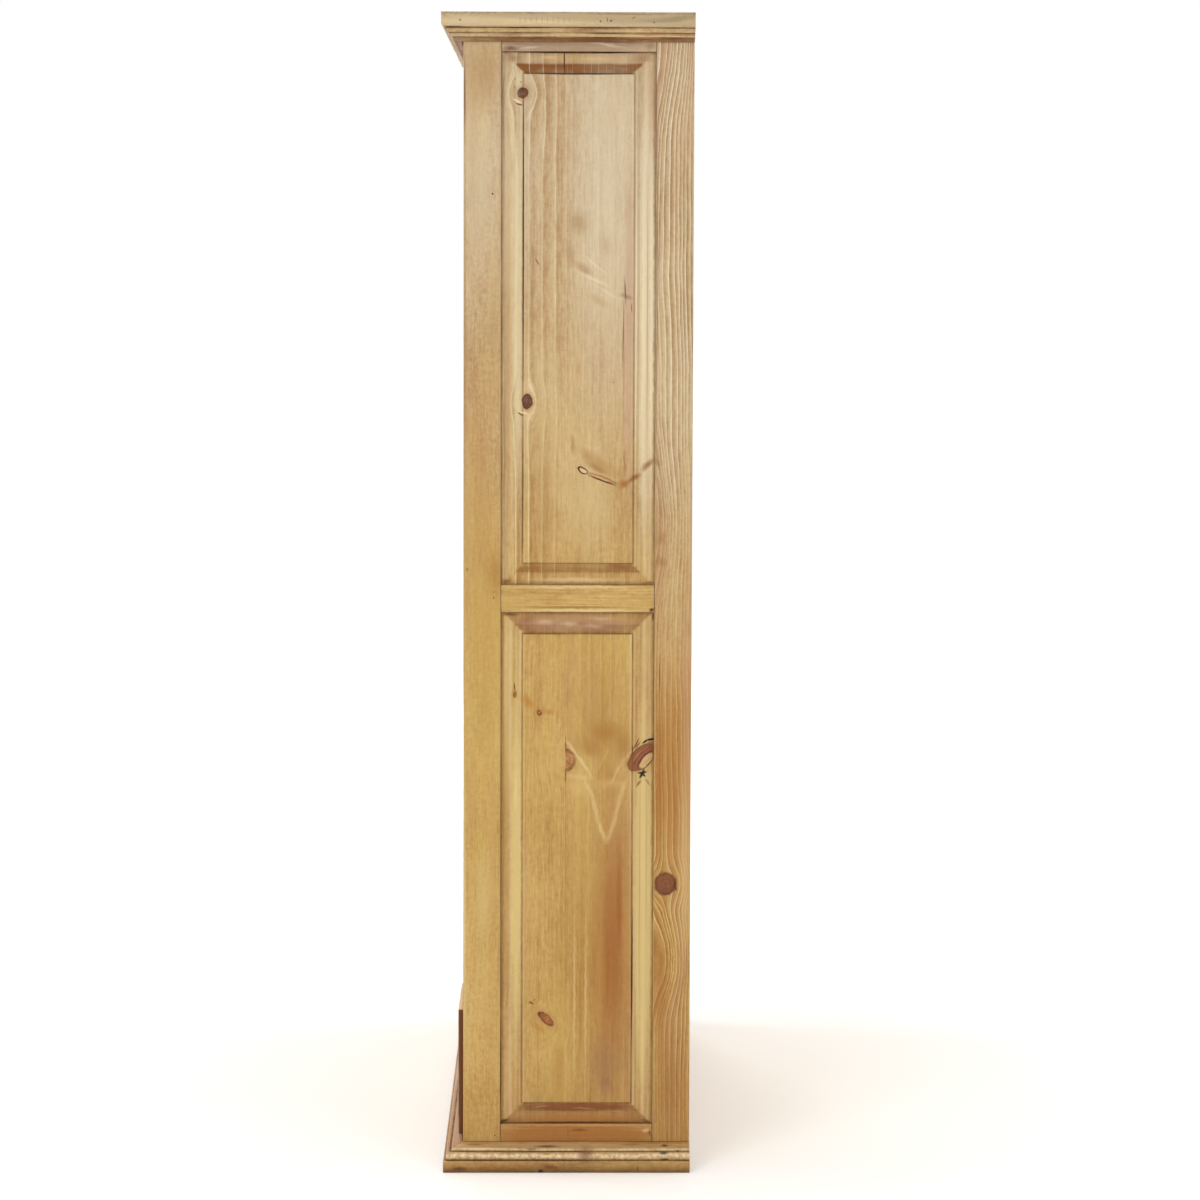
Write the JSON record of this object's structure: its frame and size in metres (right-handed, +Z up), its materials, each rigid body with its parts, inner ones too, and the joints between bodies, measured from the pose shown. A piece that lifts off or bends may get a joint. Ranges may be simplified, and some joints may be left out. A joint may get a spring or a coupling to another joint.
{
  "type": "bookcase",
  "caption": "Tall waxed pine bookcase with raised-panel sides, stepped crown and moulded base, open shelves above side-by-side lipped drawers with finger scoops",
  "frame": {"origin": "on the floor, at the centre of the bounding box's bottom", "axes": "+Z up; the open front faces -Y and the back boards +Y; the width runs along X"},
  "size_m": [1.148, 0.395, 1.83],
  "materials": {
    "pine_frame": "waxed knotty pine, golden, satin",
    "pine_panel": "waxed knotty pine with dark glaze in the bevels, satin",
    "pine_moulding": "waxed pine, a little greyer, worn along the beads",
    "pine_shelf": "waxed pine boards, satin",
    "pine_back": "sawn pine boards, lightly waxed, dull",
    "pine_drawer": "plain planed pine, dull"
  },
  "bodies": {
    "carcass": {"front_post_left": "pine_frame", "front_post_right": "pine_frame", "back_post_left": "pine_frame", "back_post_right": "pine_frame", "top_rail_left": "pine_frame", "top_rail_right": "pine_frame", "middle_rail_left": "pine_frame", "middle_rail_right": "pine_frame", "bottom_side_rail_left": "pine_frame", "bottom_side_rail_right": "pine_frame", "header_rail": "pine_frame", "drawer_rail": "pine_frame", "front_bottom_rail": "pine_frame", "back_top_rail": "pine_frame", "back_bottom_rail": "pine_frame", "drawer_divider": "pine_frame", "drawer_partition": "pine_frame", "upper_panel_left": "pine_panel", "upper_panel_right": "pine_panel", "lower_panel_left": "pine_panel", "lower_panel_right": "pine_panel", "top_board": "pine_moulding", "crown_moulding_front": "pine_moulding", "crown_moulding_left": "pine_moulding", "crown_moulding_right": "pine_moulding", "base_moulding_front": "pine_moulding", "base_moulding_left": "pine_moulding", "base_moulding_right": "pine_moulding", "deck": "pine_shelf", "deck_cleat_left": "pine_shelf", "deck_cleat_right": "pine_shelf", "shelf_1": "pine_shelf", "shelf_1_cleat_left": "pine_shelf", "shelf_1_cleat_right": "pine_shelf", "shelf_2": "pine_shelf", "shelf_2_cleat_left": "pine_shelf", "shelf_2_cleat_right": "pine_shelf", "shelf_3": "pine_shelf", "shelf_3_cleat_left": "pine_shelf", "shelf_3_cleat_right": "pine_shelf", "drawer_runner_left_outer": "pine_shelf", "drawer_runner_left_inner": "pine_shelf", "drawer_runner_right_outer": "pine_shelf", "drawer_runner_right_inner": "pine_shelf", "back_board_1": "pine_back", "back_board_2": "pine_back", "back_board_3": "pine_back", "back_board_4": "pine_back", "back_board_5": "pine_back", "back_board_6": "pine_back"},
    "drawer_left": {"drawer_front_left": "pine_frame", "drawer_side_left_outer": "pine_drawer", "drawer_side_left_inner": "pine_drawer", "drawer_back_left": "pine_drawer", "drawer_bottom_left": "pine_drawer"},
    "drawer_right": {"drawer_front_right": "pine_frame", "drawer_side_right_outer": "pine_drawer", "drawer_side_right_inner": "pine_drawer", "drawer_back_right": "pine_drawer", "drawer_bottom_right": "pine_drawer"}
  },
  "joints": [
    {"name": "drawer_left_slide", "type": "slide", "parent": "carcass", "child": "drawer_left", "axis": [0, -1, 0], "range_m": [0, 0.25]},
    {"name": "drawer_right_slide", "type": "slide", "parent": "carcass", "child": "drawer_right", "axis": [0, -1, 0], "range_m": [0, 0.25]}
  ]
}
